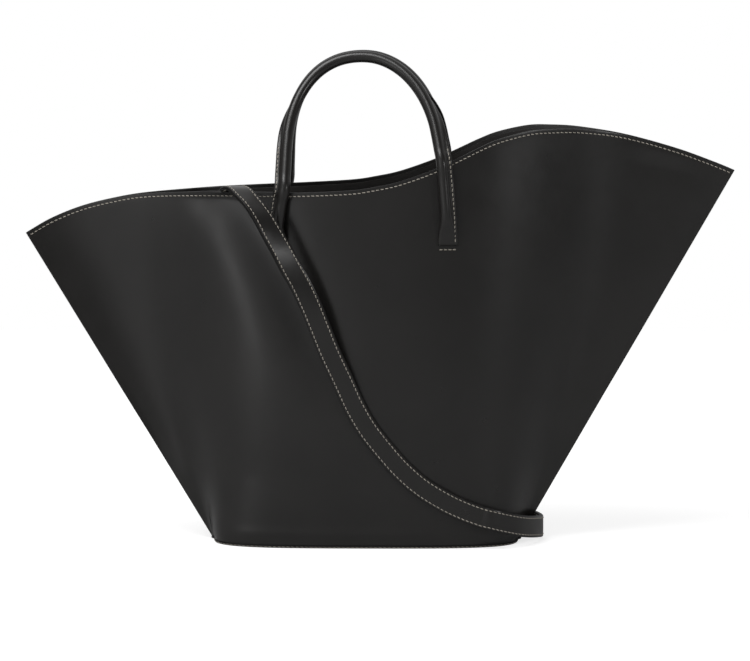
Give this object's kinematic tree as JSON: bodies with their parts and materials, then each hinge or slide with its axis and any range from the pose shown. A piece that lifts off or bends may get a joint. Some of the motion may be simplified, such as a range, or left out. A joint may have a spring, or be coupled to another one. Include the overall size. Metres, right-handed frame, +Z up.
{
  "type": "tote bag",
  "caption": "Structured leather tote bag with a fan-shaped body, round folding handles, a lined open hold and a long flat shoulder strap on snap hooks.",
  "frame": {"origin": "centre of the flat base, on the ground", "axes": "+X to the right of someone looking at the front, +Y to the back, +Z up; the front faces -Y"},
  "size_m": [0.6495, 0.1729, 0.4503],
  "materials": {
    "body_leather": "smooth satin",
    "trim_leather": "smooth satin",
    "backing_leather": "matt",
    "lining": "matt",
    "board": "matt fibreboard",
    "cord_core": "twisted cotton cord",
    "plated_metal": "polished"
  },
  "bodies": {
    "bag": {"back_lining": "lining", "back_panel": "body_leather", "base_board": "board", "base_lining": "lining", "base_panel": "body_leather", "d_ring_left": "plated_metal", "front_lining": "lining", "front_panel": "body_leather", "gate_pin_left": "plated_metal", "handle_back_leg_left": "trim_leather", "handle_back_leg_right": "trim_leather", "handle_back_patch_left": "backing_leather", "handle_back_patch_right": "backing_leather", "handle_front_leg_left": "trim_leather", "handle_front_leg_right": "trim_leather", "handle_front_patch_left": "backing_leather", "handle_front_patch_right": "backing_leather", "ring_tab_left": "backing_leather", "ring_tab_right": "backing_leather", "snap_hook_left": "plated_metal", "strap_backing": "backing_leather", "strap_chape_free": "trim_leather", "strap_chape_left": "trim_leather", "strap_top": "trim_leather", "swivel_eye_free": "plated_metal", "swivel_eye_left": "plated_metal"},
    "handle_front": {"handle_front_sleeve": "trim_leather", "handle_front_core": "cord_core"},
    "handle_back": {"handle_back_sleeve": "trim_leather", "handle_back_core": "cord_core"},
    "ring_right": {"d_ring_right": "plated_metal"},
    "gate_left": {"hook_gate_left": "plated_metal"},
    "hook_free": {"snap_hook_free": "plated_metal", "gate_pin_free": "plated_metal"},
    "gate_free": {"hook_gate_free": "plated_metal"}
  },
  "joints": [
    {"name": "handle_front_fold", "type": "hinge", "parent": "bag", "child": "handle_front", "pos_m": [-0.002, -0.06396, 0.3415], "axis": [0.9843, -0.0323, 0.1733], "range_deg": [0, 110]},
    {"name": "handle_back_fold", "type": "hinge", "parent": "bag", "child": "handle_back", "pos_m": [-0.002, 0.06396, 0.3415], "axis": [-0.9843, -0.0323, -0.1733], "range_deg": [0, 110]},
    {"name": "ring_right_swing", "type": "hinge", "parent": "bag", "child": "ring_right", "pos_m": [0.19653, 0, 0.292], "axis": [-0.6, 0, 0.8], "range_deg": [-20, 20]},
    {"name": "gate_left_press", "type": "hinge", "parent": "bag", "child": "gate_left", "pos_m": [-0.15277, -0.00521, 0.27566], "axis": [0.7907, 0, -0.6122], "range_deg": [0, 24], "stiffness_Nm_per_rad": 0.04, "springref_deg": -28.65},
    {"name": "hook_free_swivel", "type": "hinge", "parent": "bag", "child": "hook_free", "pos_m": [-0.1039, 0.07592, 0.00531], "axis": [-0.9962, -0.0874, 0.0046], "continuous": true},
    {"name": "gate_free_press", "type": "hinge", "parent": "hook_free", "child": "gate_free", "pos_m": [-0.11824, 0.07983, 0.00537], "axis": [0.0045, 0.0004, 1], "range_deg": [0, 24], "stiffness_Nm_per_rad": 0.04, "springref_deg": -28.65}
  ]
}
